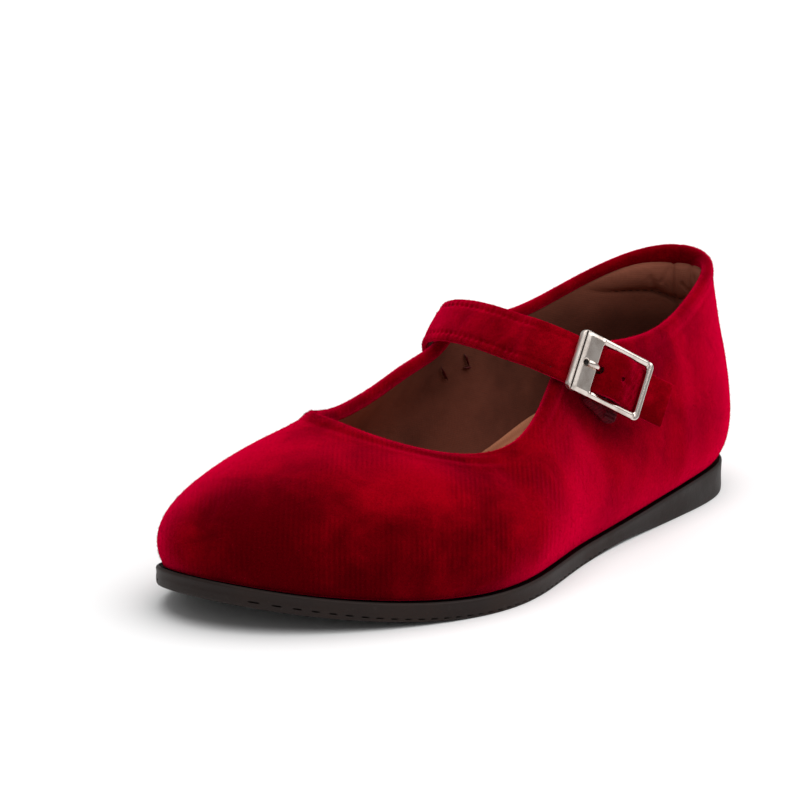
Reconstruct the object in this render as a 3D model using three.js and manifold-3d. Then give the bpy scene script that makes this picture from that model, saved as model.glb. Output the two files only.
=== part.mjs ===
// A child's velvet mary jane, left shoe, standing empty on its sole.
// Lengths are millimetres. While it is built, x runs from the back of the heel to the toe,
// y to the outside of the foot and z up from the floor. The finished group is moved so that
// its origin is the middle of its footprint on the floor.
import * as THREE from "three";
import { mergeVertices } from "three/addons/utils/BufferGeometryUtils.js";
import Module from "manifold-3d";

const wasm = await Module();
wasm.setup();

// ---- driving dimensions ----
const GAP = 0.3; // between pieces that touch
const WALL = 2.4; // velvet, padding and lining of the upper together
const FEATHER_INSET = 1.8; // upper's foot, in from the sole's edge

const HEEL_HEIGHT = 9; // sole edge under the heel
const BALL_HEIGHT = 4.4; // sole edge under the ball
const WEDGE = { ballX: 100, heelX: 20 }; // the sole grows from ball to heel height between these
const TOE_SPRING = { startX: 150, tipX: 202, lift: 7.6 };
const ARCH = { startX: 60, endX: 104, lift: 0.6 };
const TREAD_EDGE = { inset: 0.4, height: 1.0, heelInset: 2.2, heelHeight: 3.2, heelX: 14 };

const INSOLE = { thickness: 4.2, inset: 0.5, crown: 0.8, edge: 1.2 };

const STRAP = { width: 12.6, tailWidth: 11.8, narrowFrom: 0.5, narrowTo: 0.6, thickness: 2.2, corner: 0.55 };
const BUCKLE = {
  centre: [89.4, 31.95, 45.2],
  along: [-0.776, 0.425, -0.467], // towards the strap's tail
  across: [0.52, 0.012, -0.854], // towards the sole
  length: 23.4,
  width: 16,
  thickness: 1.6,
  plate: 6.9, // wide front plate
  side: 1.7,
  rear: 1.6,
  round: 1.6,
  windowRound: 0.6,
  bevel: 0.35,
};
const BAR = { x: 0.6, z: -2.2, radius: 0.6, lug: 1.5 };
const PRONG = { radius: 0.5, eyeOuter: 1.3, eyeWidth: 1.3, slack: 0.1 };
const TAB = { loopWidth: 12, thickness: 0.8, slot: 3, patchTop: -3.75, patchBase: -4.8 };

const AROUND = 100; // steps round the shoe, a multiple of the sections
const UP = 12; // steps from the sole to the topline
const ACROSS = 6; // steps across sole and insole
const LIP_STEPS = 4; // steps over the rolled topline
const STRAP_STEPS = 54;
const PRONG_STEPS = 12;
const ROUND_SIDES = 16; // sides of the small round pieces

const TURN_STEP = 0.003; // how far round to look for a direction
const UP_STEP = 0.005; // and how far up
const LEVEL_FOOT = 0.12; // share of the side over which the wall turns from level to square
const SPLINE_PASSES = 40;

// ---- the last, as sections round the shoe from the back seam by the outside to the toe ----
// sole x, y: edge of the sole. top x, y, z: the topline. rise and flare: how far the side climbs
// and swells above the sole. run and drop: how it comes up to the topline, from outside and below.
const COLUMNS = ["soleX", "soleY", "topX", "topY", "topZ", "rise", "flare", "run", "drop"];
const SECTIONS = [
  ["heel back", 0.4, 1.5, 0.4, 0.5, 65.8, 11, 11.4, 2.5, 18],
  ["heel corner", 6.6, 15.8, 5.8, 13.4, 63.2, 11, 11, 2.5, 18],
  ["heel side", 23, 27.8, 24, 19.4, 56.6, 11, 8.5, 3.5, 16],
  ["quarter", 50, 31.5, 48, 23, 50.8, 10, 7.7, 3.5, 14],
  ["waist", 78, 32.8, 72, 23.5, 50.4, 11, 7, 4.5, 16],
  ["ear", 103, 35.2, 90.6, 21.8, 49.8, 12, 7.5, 6.4, 18],
  ["ball rear", 126, 40, 105.9, 24.8, 41.3, 11.5, 7.7, 8.2, 12.4],
  ["ball", 149, 41, 125.1, 27.8, 34.4, 11.7, 7.2, 10.9, 7],
  ["toe side", 174, 30, 140.8, 21.1, 33.9, 13.6, 8.3, 16, 3.3],
  ["toe corner", 194, 12, 151, 8, 37.5, 15, 8.5, 21.5, 4],
  ["toe tip", 201.8, -8, 153.5, -5, 40.4, 17, 8.5, 19.5, 5],
  ["inner toe corner", 195.5, -25, 151, -15.5, 41, 18, 8.5, 9, 5.5],
  ["inner toe side", 176, -34.5, 138.5, -19.7, 38.8, 15, 7.5, 6, 6],
  ["inner ball", 150, -38, 119, -22.5, 40.2, 12, 7.5, 6, 10],
  ["inner ball rear", 126, -36, 102, -24, 43.8, 11, 7.5, 6, 14],
  ["inner ear front", 104, -31, 87, -25, 47.2, 11, 7.5, 5.5, 16],
  ["inner waist", 79, -26.5, 76, -25, 52, 11, 7.5, 3.5, 18],
  ["inner quarter", 51, -24, 54, -24.5, 51.4, 10, 7.5, 3.5, 16],
  ["inner heel side", 24, -23.5, 27, -21.5, 56.8, 11, 9, 3.5, 16],
  ["inner heel corner", 6, -14, 8, -12.5, 63.4, 11, 11, 2.5, 18],
];

// ---- small helpers ----
function ease(from, to, x) {
  const s = Math.min(1, Math.max(0, (x - from) / (to - from)));
  return s * s * (3 - 2 * s);
}

// Closed cubic spline that passes through every row: its control rows are relaxed to fit.
function splineControls(rows) {
  const control = rows.map((row) => [...row]);
  const count = rows.length;
  for (let pass = 0; pass < SPLINE_PASSES; pass += 1) {
    for (let i = 0; i < count; i += 1) {
      const before = control[(i + count - 1) % count];
      const after = control[(i + 1) % count];
      control[i] = rows[i].map((value, k) => (6 * value - before[k] - after[k]) / 4);
    }
  }
  return control;
}

const SECTION_CONTROLS = splineControls(SECTIONS.map((row) => row.slice(1)));

function sectionAt(turn) {
  const count = SECTIONS.length;
  const place = (((turn % 1) + 1) % 1) * count;
  const i = Math.floor(place);
  const t = place - i;
  const weights = [
    (1 - t) ** 3 / 6,
    (3 * t ** 3 - 6 * t ** 2 + 4) / 6,
    (-3 * t ** 3 + 3 * t ** 2 + 3 * t + 1) / 6,
    t ** 3 / 6,
  ];
  const section = {};
  COLUMNS.forEach((name, k) => {
    section[name] = weights.reduce(
      (sum, weight, j) => sum + weight * SECTION_CONTROLS[(i + j - 1 + count) % count][k],
      0,
    );
  });
  return section;
}

// Level direction out of the shoe, square to the sole's edge.
function outwardAt(turn) {
  const before = sectionAt(turn - TURN_STEP);
  const after = sectionAt(turn + TURN_STEP);
  const out = new THREE.Vector3(before.soleY - after.soleY, after.soleX - before.soleX, 0);
  return out.normalize();
}

// ---- sole heights ----
function toeSpring(x) {
  const along = Math.max(0, (x - TOE_SPRING.startX) / (TOE_SPRING.tipX - TOE_SPRING.startX));
  return TOE_SPRING.lift * along ** 2;
}

function soleBottom(x) {
  const middle = (ARCH.startX + ARCH.endX) / 2;
  const arch = ease(ARCH.startX, middle, x) * ease(ARCH.endX, middle, x);
  return toeSpring(x) + ARCH.lift * arch;
}

function soleTop(x) {
  const wedge = ease(WEDGE.ballX, WEDGE.heelX, x);
  return toeSpring(x) + THREE.MathUtils.lerp(BALL_HEIGHT, HEEL_HEIGHT, wedge);
}

// ---- the upper's surface: a curve from the sole's edge to the topline in every section ----
function upperOuter(turn, up) {
  const s = sectionAt(turn);
  const out = outwardAt(turn);
  const foot = new THREE.Vector3(s.soleX, s.soleY, 0).addScaledVector(out, -FEATHER_INSET);
  foot.z = soleTop(foot.x) + GAP;
  const top = new THREE.Vector3(s.topX, s.topY, s.topZ - WALL / 2);
  const swell = foot.clone().addScaledVector(out, s.flare);
  swell.z += s.rise;
  const shoulder = top.clone().addScaledVector(out, s.run);
  shoulder.z -= s.drop;
  return new THREE.CubicBezierCurve3(foot, swell, shoulder, top).getPoint(up);
}

function upperNormal(turn, up) {
  const low = Math.max(0, up - UP_STEP);
  const high = Math.min(1, up + UP_STEP);
  const round = upperOuter(turn - TURN_STEP, up).sub(upperOuter(turn + TURN_STEP, up));
  const climb = upperOuter(turn, high).sub(upperOuter(turn, low));
  const normal = round.cross(climb).normalize();
  normal.z *= ease(0, LEVEL_FOOT, up);
  return normal.normalize();
}

function upperInner(turn, up) {
  return upperOuter(turn, up).addScaledVector(upperNormal(turn, up), -WALL);
}

// ---- closed meshes from rings and grids of points ----
// Every ring has the same number of points, and the last ring joins the first.
function ringedGeometry(rings) {
  const count = rings[0].length;
  const positions = rings.flat().flatMap((p) => [p.x, p.y, p.z]);
  const index = [];
  for (let r = 0; r < rings.length; r += 1) {
    const next = ((r + 1) % rings.length) * count;
    for (let i = 0; i < count; i += 1) {
      const j = (i + 1) % count;
      index.push(r * count + i, next + j, r * count + j);
      index.push(r * count + i, next + i, next + j);
    }
  }
  return indexed(positions, index);
}

function indexed(positions, index) {
  const geometry = new THREE.BufferGeometry();
  geometry.setAttribute("position", new THREE.Float32BufferAttribute(positions, 3));
  geometry.setIndex(index);
  const welded = mergeVertices(geometry, 1e-4);
  welded.computeVertexNormals();
  return welded;
}

// A slab between two faces: rings are the outline from the lower face to the upper one, and the
// faces are ruled between the outline's outer and inner side, at the heights given.
function slabGeometry(rings, lowerHeight, upperHeight) {
  const count = rings[0].length;
  const half = count / 2;
  const positions = rings.flat().flatMap((p) => [p.x, p.y, p.z]);
  const index = [];
  for (let r = 0; r + 1 < rings.length; r += 1) {
    for (let i = 0; i < count; i += 1) {
      const j = (i + 1) % count;
      index.push(r * count + i, (r + 1) * count + j, r * count + j);
      index.push(r * count + i, (r + 1) * count + i, (r + 1) * count + j);
    }
  }
  function face(ringNumber, height, facesUp) {
    const first = ringNumber * count;
    const rows = [];
    for (let i = 1; i < half; i += 1) {
      const outer = rings[ringNumber][i];
      const inner = rings[ringNumber][count - i];
      const row = [first + i];
      for (let k = 1; k < ACROSS; k += 1) {
        const p = outer.clone().lerp(inner, k / ACROSS);
        row.push(positions.length / 3);
        positions.push(p.x, p.y, height(p, k / ACROSS));
      }
      row.push(first + count - i);
      rows.push(row);
    }
    const triangle = (a, b, c) => index.push(...(facesUp ? [a, c, b] : [a, b, c]));
    for (let k = 0; k < ACROSS; k += 1) {
      triangle(first, rows[0][k], rows[0][k + 1]);
      triangle(first + half, rows[half - 2][k + 1], rows[half - 2][k]);
      for (let i = 0; i + 1 < rows.length; i += 1) {
        triangle(rows[i][k], rows[i + 1][k], rows[i + 1][k + 1]);
        triangle(rows[i][k], rows[i + 1][k + 1], rows[i][k + 1]);
      }
    }
  }
  face(0, lowerHeight, false);
  face(rings.length - 1, upperHeight, true);
  return indexed(positions, index);
}

function turnSteps(make) {
  return Array.from({ length: AROUND }, (unused, i) => make(i / AROUND));
}

// ---- outsole ----
function soleRing(inset, height) {
  return turnSteps((turn) => {
    const s = sectionAt(turn);
    const p = new THREE.Vector3(s.soleX, s.soleY, 0);
    p.addScaledVector(outwardAt(turn), -inset(p.x));
    p.z = height(p.x);
    return p;
  });
}

// The tread's edge is a quarter round, larger at the back of the heel.
function outsoleGeometry() {
  const heel = (x) => ease(TREAD_EDGE.heelX, 0, x);
  const inset = (x) => TREAD_EDGE.inset + TREAD_EDGE.heelInset * heel(x);
  const rounding = (x) => TREAD_EDGE.height + TREAD_EDGE.heelHeight * heel(x);
  const rings = [0, Math.PI / 4, Math.PI / 2].map((angle) =>
    soleRing(
      (x) => inset(x) * (1 - Math.sin(angle)),
      (x) => soleBottom(x) + rounding(x) * (1 - Math.cos(angle)),
    ),
  );
  rings.push(soleRing(() => 0, soleTop));
  return slabGeometry(rings, (p) => soleBottom(p.x), (p) => soleTop(p.x));
}

// ---- insole ----
function insoleGeometry() {
  const ring = (inset, height) =>
    turnSteps((turn) => {
      const p = upperInner(turn, 0).addScaledVector(outwardAt(turn), -inset);
      p.z = height(p.x);
      return p;
    });
  const base = (x) => soleTop(x) + GAP;
  const rings = [
    ring(INSOLE.inset, base),
    ring(INSOLE.inset, (x) => base(x) + INSOLE.thickness - INSOLE.edge),
    ring(INSOLE.inset + INSOLE.edge, (x) => base(x) + INSOLE.thickness),
  ];
  const hollow = (across) => INSOLE.crown * Math.sin(Math.PI * across);
  return slabGeometry(
    rings,
    (p) => base(p.x),
    (p, across) => base(p.x) + INSOLE.thickness - hollow(across),
  );
}

// ---- upper ----
function upperGeometry() {
  const rings = [];
  for (let k = 0; k <= UP; k += 1) {
    rings.push(turnSteps((turn) => upperOuter(turn, k / UP)));
  }
  for (let k = 1; k < LIP_STEPS; k += 1) {
    rings.push(turnSteps((turn) => lipPoint(turn, (k / LIP_STEPS) * Math.PI)));
  }
  for (let k = UP; k >= 0; k -= 1) {
    rings.push(turnSteps((turn) => upperInner(turn, k / UP)));
  }
  return ringedGeometry(rings);
}

// The topline is rolled over: half a circle from the outer face to the lining.
function lipPoint(turn, angle) {
  const normal = upperNormal(turn, 1);
  const climb = upperOuter(turn, 1).sub(upperOuter(turn, 1 - UP_STEP)).normalize();
  const middle = upperOuter(turn, 1).addScaledVector(normal, -WALL / 2);
  middle.addScaledVector(normal, (WALL / 2) * Math.cos(angle));
  return middle.addScaledVector(climb, (WALL / 2) * Math.sin(angle));
}

// ---- places on the buckle: x along the strap to its tail, y across, z out of the shoe ----
function buckleMatrix() {
  const x = new THREE.Vector3(...BUCKLE.along).normalize();
  const z = new THREE.Vector3(...BUCKLE.across).cross(x).normalize();
  const y = z.clone().cross(x);
  const matrix = new THREE.Matrix4().makeBasis(x, y, z);
  return matrix.setPosition(new THREE.Vector3(...BUCKLE.centre));
}

const BUCKLE_PLACE = buckleMatrix();

function onBuckle(x, y, z) {
  return new THREE.Vector3(x, y, z).applyMatrix4(BUCKLE_PLACE);
}

// ---- strap ----
// Middle line of the strap from its sewn end, down the inner side, over the instep to the
// buckle. lean is the angle of its width from upright, in degrees, in the plane of x and z.
const STRAP_ARCH = [
  { x: 66.5, y: -31.2, z: 33.5, lean: 54 },
  { x: 72.6, y: -31.4, z: 40.0, lean: 52 },
  { x: 78.4, y: -30.6, z: 46.2, lean: 50 },
  { x: 83.0, y: -27.4, z: 50.8, lean: 46 },
  { x: 87.2, y: -20.8, z: 53.2, lean: 42 },
  { x: 91.0, y: -12.0, z: 54.3, lean: 40 },
  { x: 94.4, y: -2.5, z: 54.3, lean: 39 },
  { x: 97.2, y: 7.5, z: 53.5, lean: 38 },
  { x: 99.5, y: 16.9, z: 52.7, lean: 36 },
];
// Its way through the buckle, in the buckle's x and z: under the plate, over the middle bar,
// under the rear bar, and its tail.
const STRAP_WEAVE = [
  { x: -10.5, z: -2.6 },
  { x: -5.1, z: -2.5 },
  { x: -2.0, z: -0.3 },
  { x: 0.5, z: 1.3 },
  { x: 3.8, z: 0.6 },
  { x: 7.2, z: -1.7 },
  { x: 10.2, z: -2.35 },
  { x: 15.0, z: -2.3 },
  { x: 20.0, z: -2.0 },
];

function strapStations() {
  const points = [];
  const across = [];
  for (const { x, y, z, lean } of STRAP_ARCH) {
    const angle = THREE.MathUtils.degToRad(lean);
    points.push(new THREE.Vector3(x, y, z));
    across.push(new THREE.Vector3(Math.sin(angle), 0, -Math.cos(angle)));
  }
  for (const { x, z } of STRAP_WEAVE) {
    points.push(onBuckle(x, 0, z));
    across.push(new THREE.Vector3(...BUCKLE.across));
  }
  return { points, across };
}

function strapFrames() {
  const { points, across } = strapStations();
  const path = new THREE.CatmullRomCurve3(points, false, "centripetal");
  const acrossPath = new THREE.CatmullRomCurve3(across, false, "centripetal");
  const frames = [];
  for (let i = 0; i <= STRAP_STEPS; i += 1) {
    const along = i / STRAP_STEPS;
    const tangent = path.getTangent(along);
    const side = acrossPath.getPoint(along);
    side.addScaledVector(tangent, -side.dot(tangent)).normalize();
    const out = side.clone().cross(tangent).normalize();
    frames.push({ along, centre: path.getPoint(along), side, out });
  }
  return frames;
}

// The strap, less a passage for the prong and room for its eye.
function strapGeometry() {
  const h = STRAP.thickness / 2;
  const c = STRAP.corner;
  const rings = strapFrames().map(({ along, centre, side, out }) => {
    const narrow = ease(STRAP.narrowFrom, STRAP.narrowTo, along);
    const w = THREE.MathUtils.lerp(STRAP.width, STRAP.tailWidth, narrow) / 2;
    const profile = [
      [w, h - c], [w - c, h], [0, h], [c - w, h], [-w, h - c],
      [-w, c - h], [c - w, -h], [0, -h], [w - c, -h], [w, c - h],
    ];
    return profile.map(([a, b]) => {
      return centre.clone().addScaledVector(side, a).addScaledVector(out, b);
    });
  });
  const strap = toSolid(cappedGeometry(rings));
  const passage = prongSweep(PRONG.radius + GAP + PRONG.slack);
  const eyeRoom = crossBar(PRONG.eyeOuter + GAP, PRONG.eyeWidth + 2 * GAP);
  return fromSolid(
    strap
      .subtract(toSolid(passage.applyMatrix4(BUCKLE_PLACE)))
      .subtract(toSolid(eyeRoom.applyMatrix4(BUCKLE_PLACE))),
  );
}

function cappedGeometry(rings) {
  const count = rings[0].length;
  const positions = rings.flat().flatMap((p) => [p.x, p.y, p.z]);
  const index = [];
  for (let r = 0; r + 1 < rings.length; r += 1) {
    for (let i = 0; i < count; i += 1) {
      const j = (i + 1) % count;
      index.push(r * count + i, (r + 1) * count + j, r * count + j);
      index.push(r * count + i, (r + 1) * count + i, (r + 1) * count + j);
    }
  }
  const last = (rings.length - 1) * count;
  for (let i = 1; i + 1 < count; i += 1) {
    index.push(0, i, i + 1);
    index.push(last, last + i + 1, last + i);
  }
  return indexed(positions, index);
}

// ---- solids for cutting and joining ----
function toSolid(geometry) {
  const bare = geometry.clone();
  bare.deleteAttribute("normal");
  bare.deleteAttribute("uv");
  const welded = mergeVertices(bare, 1e-4);
  return new wasm.Manifold(
    new wasm.Mesh({
      numProp: 3,
      vertProperties: new Float32Array(welded.attributes.position.array),
      triVerts: new Uint32Array(welded.index.array),
    }),
  );
}

function fromSolid(solid) {
  const mesh = solid.getMesh();
  const positions = [];
  for (let i = 0; i < mesh.vertProperties.length; i += mesh.numProp) {
    positions.push(...mesh.vertProperties.subarray(i, i + 3));
  }
  return indexed(positions, Array.from(mesh.triVerts));
}

function box(x0, x1, y0, y1, z0, z1) {
  const geometry = new THREE.BoxGeometry(x1 - x0, y1 - y0, z1 - z0);
  return geometry.translate((x0 + x1) / 2, (y0 + y1) / 2, (z0 + z1) / 2);
}

// A round bar along y, on the buckle's middle bar.
function crossBar(radius, length) {
  const geometry = new THREE.CylinderGeometry(radius, radius, length, ROUND_SIDES);
  return geometry.translate(BAR.x, 0, BAR.z);
}

// ---- buckle frame: a wide front plate, two sides, a rear bar and a lower middle bar ----
function buckleFrameGeometry() {
  const x0 = -BUCKLE.length / 2 + BUCKLE.bevel;
  const x1 = BUCKLE.length / 2 - BUCKLE.bevel;
  const y1 = BUCKLE.width / 2 - BUCKLE.bevel;
  const outline = roundedRectangle(x0, x1, -y1, y1, BUCKLE.round);
  const windowX0 = -BUCKLE.length / 2 + BUCKLE.plate - BUCKLE.bevel;
  const windowX1 = BUCKLE.length / 2 - BUCKLE.rear + BUCKLE.bevel;
  const windowY = BUCKLE.width / 2 - BUCKLE.side + BUCKLE.bevel;
  const hole = roundedRectangle(windowX0, windowX1, -windowY, windowY, BUCKLE.windowRound);
  outline.holes.push(hole);
  const frame = new THREE.ExtrudeGeometry(outline, {
    depth: BUCKLE.thickness - 2 * BUCKLE.bevel,
    bevelThickness: BUCKLE.bevel,
    bevelSize: BUCKLE.bevel,
    bevelSegments: 1,
    curveSegments: 4,
  });
  frame.translate(0, 0, -BUCKLE.thickness / 2 + BUCKLE.bevel);
  let solid = toSolid(frame);
  solid = solid.add(toSolid(crossBar(BAR.radius, BUCKLE.width - BUCKLE.side)));
  for (const sign of [-1, 1]) {
    const inner = sign * (BUCKLE.width / 2 - BUCKLE.side);
    const outer = sign * (BUCKLE.width / 2 - BUCKLE.bevel);
    const y = [inner, outer].sort((a, b) => a - b);
    const lug = box(BAR.x - BAR.lug, BAR.x + BAR.lug, ...y, BAR.z - BAR.radius, 0);
    solid = solid.add(toSolid(lug));
  }
  return fromSolid(solid);
}

function roundedRectangle(x0, x1, y0, y1, r) {
  const shape = new THREE.Shape();
  shape.moveTo(x0 + r, y0);
  shape.lineTo(x1 - r, y0);
  shape.absarc(x1 - r, y0 + r, r, -Math.PI / 2, 0);
  shape.lineTo(x1, y1 - r);
  shape.absarc(x1 - r, y1 - r, r, 0, Math.PI / 2);
  shape.lineTo(x0 + r, y1);
  shape.absarc(x0 + r, y1 - r, r, Math.PI / 2, Math.PI);
  shape.lineTo(x0, y0 + r);
  shape.absarc(x0 + r, y0 + r, r, Math.PI, 1.5 * Math.PI);
  return shape;
}

// ---- prong: an eye round the middle bar and a pin that rests on the plate ----
const PRONG_PATH = [
  [BAR.x - 1.1, BAR.z + 0.5],
  [-1.4, -0.9],
  [-2.6, 0.6],
  [-4.0, 1.5],
  [-5.8, 1.65],
  [-8.4, 1.65],
];

function prongSweep(radius) {
  const points = PRONG_PATH.map(([x, z]) => new THREE.Vector3(x, 0, z));
  const path = new THREE.CatmullRomCurve3(points);
  const shape = new THREE.Shape();
  shape.absarc(0, 0, radius, 0, 2 * Math.PI);
  return new THREE.ExtrudeGeometry(shape, {
    steps: PRONG_STEPS,
    extrudePath: path,
    curveSegments: ROUND_SIDES / 4,
  });
}

function prongGeometry() {
  const eye = toSolid(crossBar(PRONG.eyeOuter, PRONG.eyeWidth));
  const bore = toSolid(crossBar(BAR.radius + GAP, PRONG.eyeWidth * 2));
  const pin = toSolid(prongSweep(PRONG.radius));
  return fromSolid(pin.add(eye).subtract(bore));
}

// ---- elastic tab: folded round the middle bar, its two layers sewn to the side as a patch ----
const TAB_PATCH = [
  [-3.2, -5.0],
  [-3.2, -8.0],
  [5.6, -10.7],
  [8.0, -9.6],
  [8.4, 4.6],
  [1.6, 5.6],
  [-1.0, 5.6],
];

function tabGeometry() {
  const inner = BAR.radius + GAP;
  const loop = toSolid(crossBar(inner + TAB.thickness, TAB.loopWidth));
  const bore = toSolid(crossBar(inner, TAB.loopWidth * 2));
  const outline = new THREE.Shape(TAB_PATCH.map(([x, y]) => new THREE.Vector2(x, y)));
  const patch = new THREE.ExtrudeGeometry(outline, {
    depth: TAB.patchTop - TAB.patchBase,
    bevelEnabled: false,
  });
  patch.translate(0, 0, TAB.patchBase);
  const room = PRONG.eyeOuter + 2 * GAP;
  const half = TAB.slot / 2;
  const slot = toSolid(
    box(BAR.x - 2 * room, BAR.x + 2 * room, -half, half, TAB.patchTop, BAR.z + 2 * room),
  );
  return fromSolid(toSolid(patch).add(loop.subtract(bore)).subtract(slot));
}

// ---- finishes ----
const VELVET = { color: 0x9c0018, roughness: 0.95, metalness: 0 };
const FINISHES = {
  outsole: { color: 0x2a2020, roughness: 0.75, metalness: 0 },
  insole: { color: 0x9a6f4c, roughness: 0.8, metalness: 0 },
  upper: VELVET,
  strap: VELVET,
  buckle_frame: { color: 0xd8d6d0, roughness: 0.2, metalness: 1 },
  buckle_prong: { color: 0xd8d6d0, roughness: 0.2, metalness: 1 },
  buckle_tab: { color: 0x6a1020, roughness: 0.5, metalness: 0 },
};

function part(name, geometry) {
  const mesh = new THREE.Mesh(geometry, new THREE.MeshStandardMaterial(FINISHES[name]));
  mesh.name = name;
  return mesh;
}

// ---- assembly ----
const shoe = new THREE.Group();
shoe.add(part("outsole", outsoleGeometry()));
shoe.add(part("insole", insoleGeometry()));
shoe.add(part("upper", upperGeometry()));
shoe.add(part("strap", strapGeometry()));

const buckle = new THREE.Group();
buckle.applyMatrix4(BUCKLE_PLACE);
buckle.add(part("buckle_frame", buckleFrameGeometry()));
buckle.add(part("buckle_prong", prongGeometry()));
buckle.add(part("buckle_tab", tabGeometry()));
shoe.add(buckle);

const footprint = new THREE.Box3().setFromObject(shoe, true);
const middle = footprint.getCenter(new THREE.Vector3());
shoe.position.set(-middle.x, -middle.y, -footprint.min.z);

const group = new THREE.Group();
group.add(shoe);
export default group;
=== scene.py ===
import math

import bpy
import numpy as np
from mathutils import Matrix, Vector


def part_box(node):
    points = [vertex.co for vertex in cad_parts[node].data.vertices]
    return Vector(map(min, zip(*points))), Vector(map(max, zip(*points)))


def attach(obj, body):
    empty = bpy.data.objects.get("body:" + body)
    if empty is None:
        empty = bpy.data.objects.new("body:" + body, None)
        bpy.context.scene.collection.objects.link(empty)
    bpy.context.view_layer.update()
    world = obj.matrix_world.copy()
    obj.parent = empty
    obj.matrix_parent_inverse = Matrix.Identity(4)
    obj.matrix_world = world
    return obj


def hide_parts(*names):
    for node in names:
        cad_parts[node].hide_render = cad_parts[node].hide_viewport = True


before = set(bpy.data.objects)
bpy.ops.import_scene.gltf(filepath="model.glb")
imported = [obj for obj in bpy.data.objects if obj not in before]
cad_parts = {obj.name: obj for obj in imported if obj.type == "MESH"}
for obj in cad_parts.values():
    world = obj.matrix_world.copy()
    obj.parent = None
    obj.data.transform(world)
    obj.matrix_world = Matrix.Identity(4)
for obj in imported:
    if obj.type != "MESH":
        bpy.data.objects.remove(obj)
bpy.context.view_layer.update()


# ==== Outsole ====
# One moulded unit of dark brown rubber: a low wedge with toe spring, a rounded heel corner and
# straight cross grooves in the tread, whose ends show as small slots along the forefoot's edge.

# the whole last, in sections round from the back seam by the outer side, in millimetres from
# the back of the heel, with y to the outer side of the left foot
COLUMNS = ("sole_x", "sole_y", "top_x", "top_y", "top_z", "rise", "flare", "run", "drop")
SECTIONS = {
    "heel back": (0.4, 1.5, 0.4, 0.5, 65.8, 11, 11.4, 2.5, 18),
    "heel corner": (6.6, 15.8, 5.8, 13.4, 63.2, 11, 11, 2.5, 18),
    "heel side": (23, 27.8, 24, 19.4, 56.6, 11, 8.5, 3.5, 16),
    "quarter": (50, 31.5, 48, 23, 50.8, 10, 7.7, 3.5, 14),
    "waist": (78, 32.8, 72, 23.5, 50.4, 11, 7, 4.5, 16),
    "ear": (103, 35.2, 90.6, 21.8, 49.8, 12, 7.5, 6.4, 18),
    "ball rear": (126, 40, 105.9, 24.8, 41.3, 11.5, 7.7, 8.2, 12.4),
    "ball": (149, 41, 125.1, 27.8, 34.4, 11.7, 7.2, 10.9, 7),
    "toe side": (174, 30, 140.8, 21.1, 33.9, 13.6, 8.3, 16, 3.3),
    "toe corner": (194, 12, 151, 8, 37.5, 15, 8.5, 21.5, 4),
    "toe tip": (201.8, -8, 153.5, -5, 40.4, 17, 8.5, 19.5, 5),
    "inner toe corner": (195.5, -25, 151, -15.5, 41, 18, 8.5, 9, 5.5),
    "inner toe side": (176, -34.5, 138.5, -19.7, 38.8, 15, 7.5, 6, 6),
    "inner ball": (150, -38, 119, -22.5, 40.2, 12, 7.5, 6, 10),
    "inner ball rear": (126, -36, 102, -24, 43.8, 11, 7.5, 6, 14),
    "inner ear front": (104, -31, 87, -25, 47.2, 11, 7.5, 5.5, 16),
    "inner waist": (79, -26.5, 76, -25, 52, 11, 7.5, 3.5, 18),
    "inner quarter": (51, -24, 54, -24.5, 51.4, 10, 7.5, 3.5, 16),
    "inner heel side": (24, -23.5, 27, -21.5, 56.8, 11, 9, 3.5, 16),
    "inner heel corner": (6, -14, 8, -12.5, 63.4, 11, 11, 2.5, 18),
}


def relaxed_controls(rows):
    """Control rows of the closed cubic spline that passes through every row."""
    control = rows.copy()
    for _ in range(40):
        for i in range(len(rows)):
            control[i] = (6 * rows[i] - control[i - 1] - control[(i + 1) % len(rows)]) / 4
    return control


SECTION_CONTROLS = relaxed_controls(np.array(list(SECTIONS.values()), float))


def section_at(turn):
    """The last's section at a share of the way round, 0 at the back seam, by the outside."""
    place = (np.asarray(turn, float) % 1) * len(SECTIONS)
    i = np.floor(place).astype(int)
    t = place - i
    weights = (
        (1 - t) ** 3 / 6,
        (3 * t**3 - 6 * t**2 + 4) / 6,
        (-3 * t**3 + 3 * t**2 + 3 * t + 1) / 6,
        t**3 / 6,
    )
    rows = sum(
        w[..., None] * SECTION_CONTROLS[(i + k - 1) % len(SECTIONS)] for k, w in enumerate(weights)
    )
    return {name: rows[..., k] for k, name in enumerate(COLUMNS)}


def unit(v):
    return v / np.linalg.norm(v, axis=-1, keepdims=True)


def outward_at(turn):
    """Level direction out of the shoe, square to the sole's edge."""
    before, after = section_at(turn - 0.003), section_at(turn + 0.003)
    dx = after["sole_x"] - before["sole_x"]
    dy = after["sole_y"] - before["sole_y"]
    return unit(np.stack([-dy, dx, 0 * dx], axis=-1))


def ease(start, end, x):
    """Rises smoothly from 0 at start to 1 at end."""
    s = np.clip((x - start) / (end - start), 0, 1)
    return s * s * (3 - 2 * s)


def bell(x, width):
    """A soft ridge, 1 at 0 and fading over the width."""
    return np.exp(-((x / width) ** 2))


HEEL_EDGE, BALL_EDGE = 9.0, 4.4
TOE_SPRING_FROM, TOE_SPRING_TO, TOE_SPRING = 150.0, 202.0, 7.6


def toe_spring(x):
    return TOE_SPRING * (np.maximum(0, x - TOE_SPRING_FROM) / (TOE_SPRING_TO - TOE_SPRING_FROM)) ** 2


def sole_bottom(x):
    arch = 0.6 * ease(60, 82, x) * ease(104, 82, x)
    return toe_spring(x) + arch


def sole_top(x):
    return toe_spring(x) + BALL_EDGE + (HEEL_EDGE - BALL_EDGE) * ease(100, 20, x)


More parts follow.
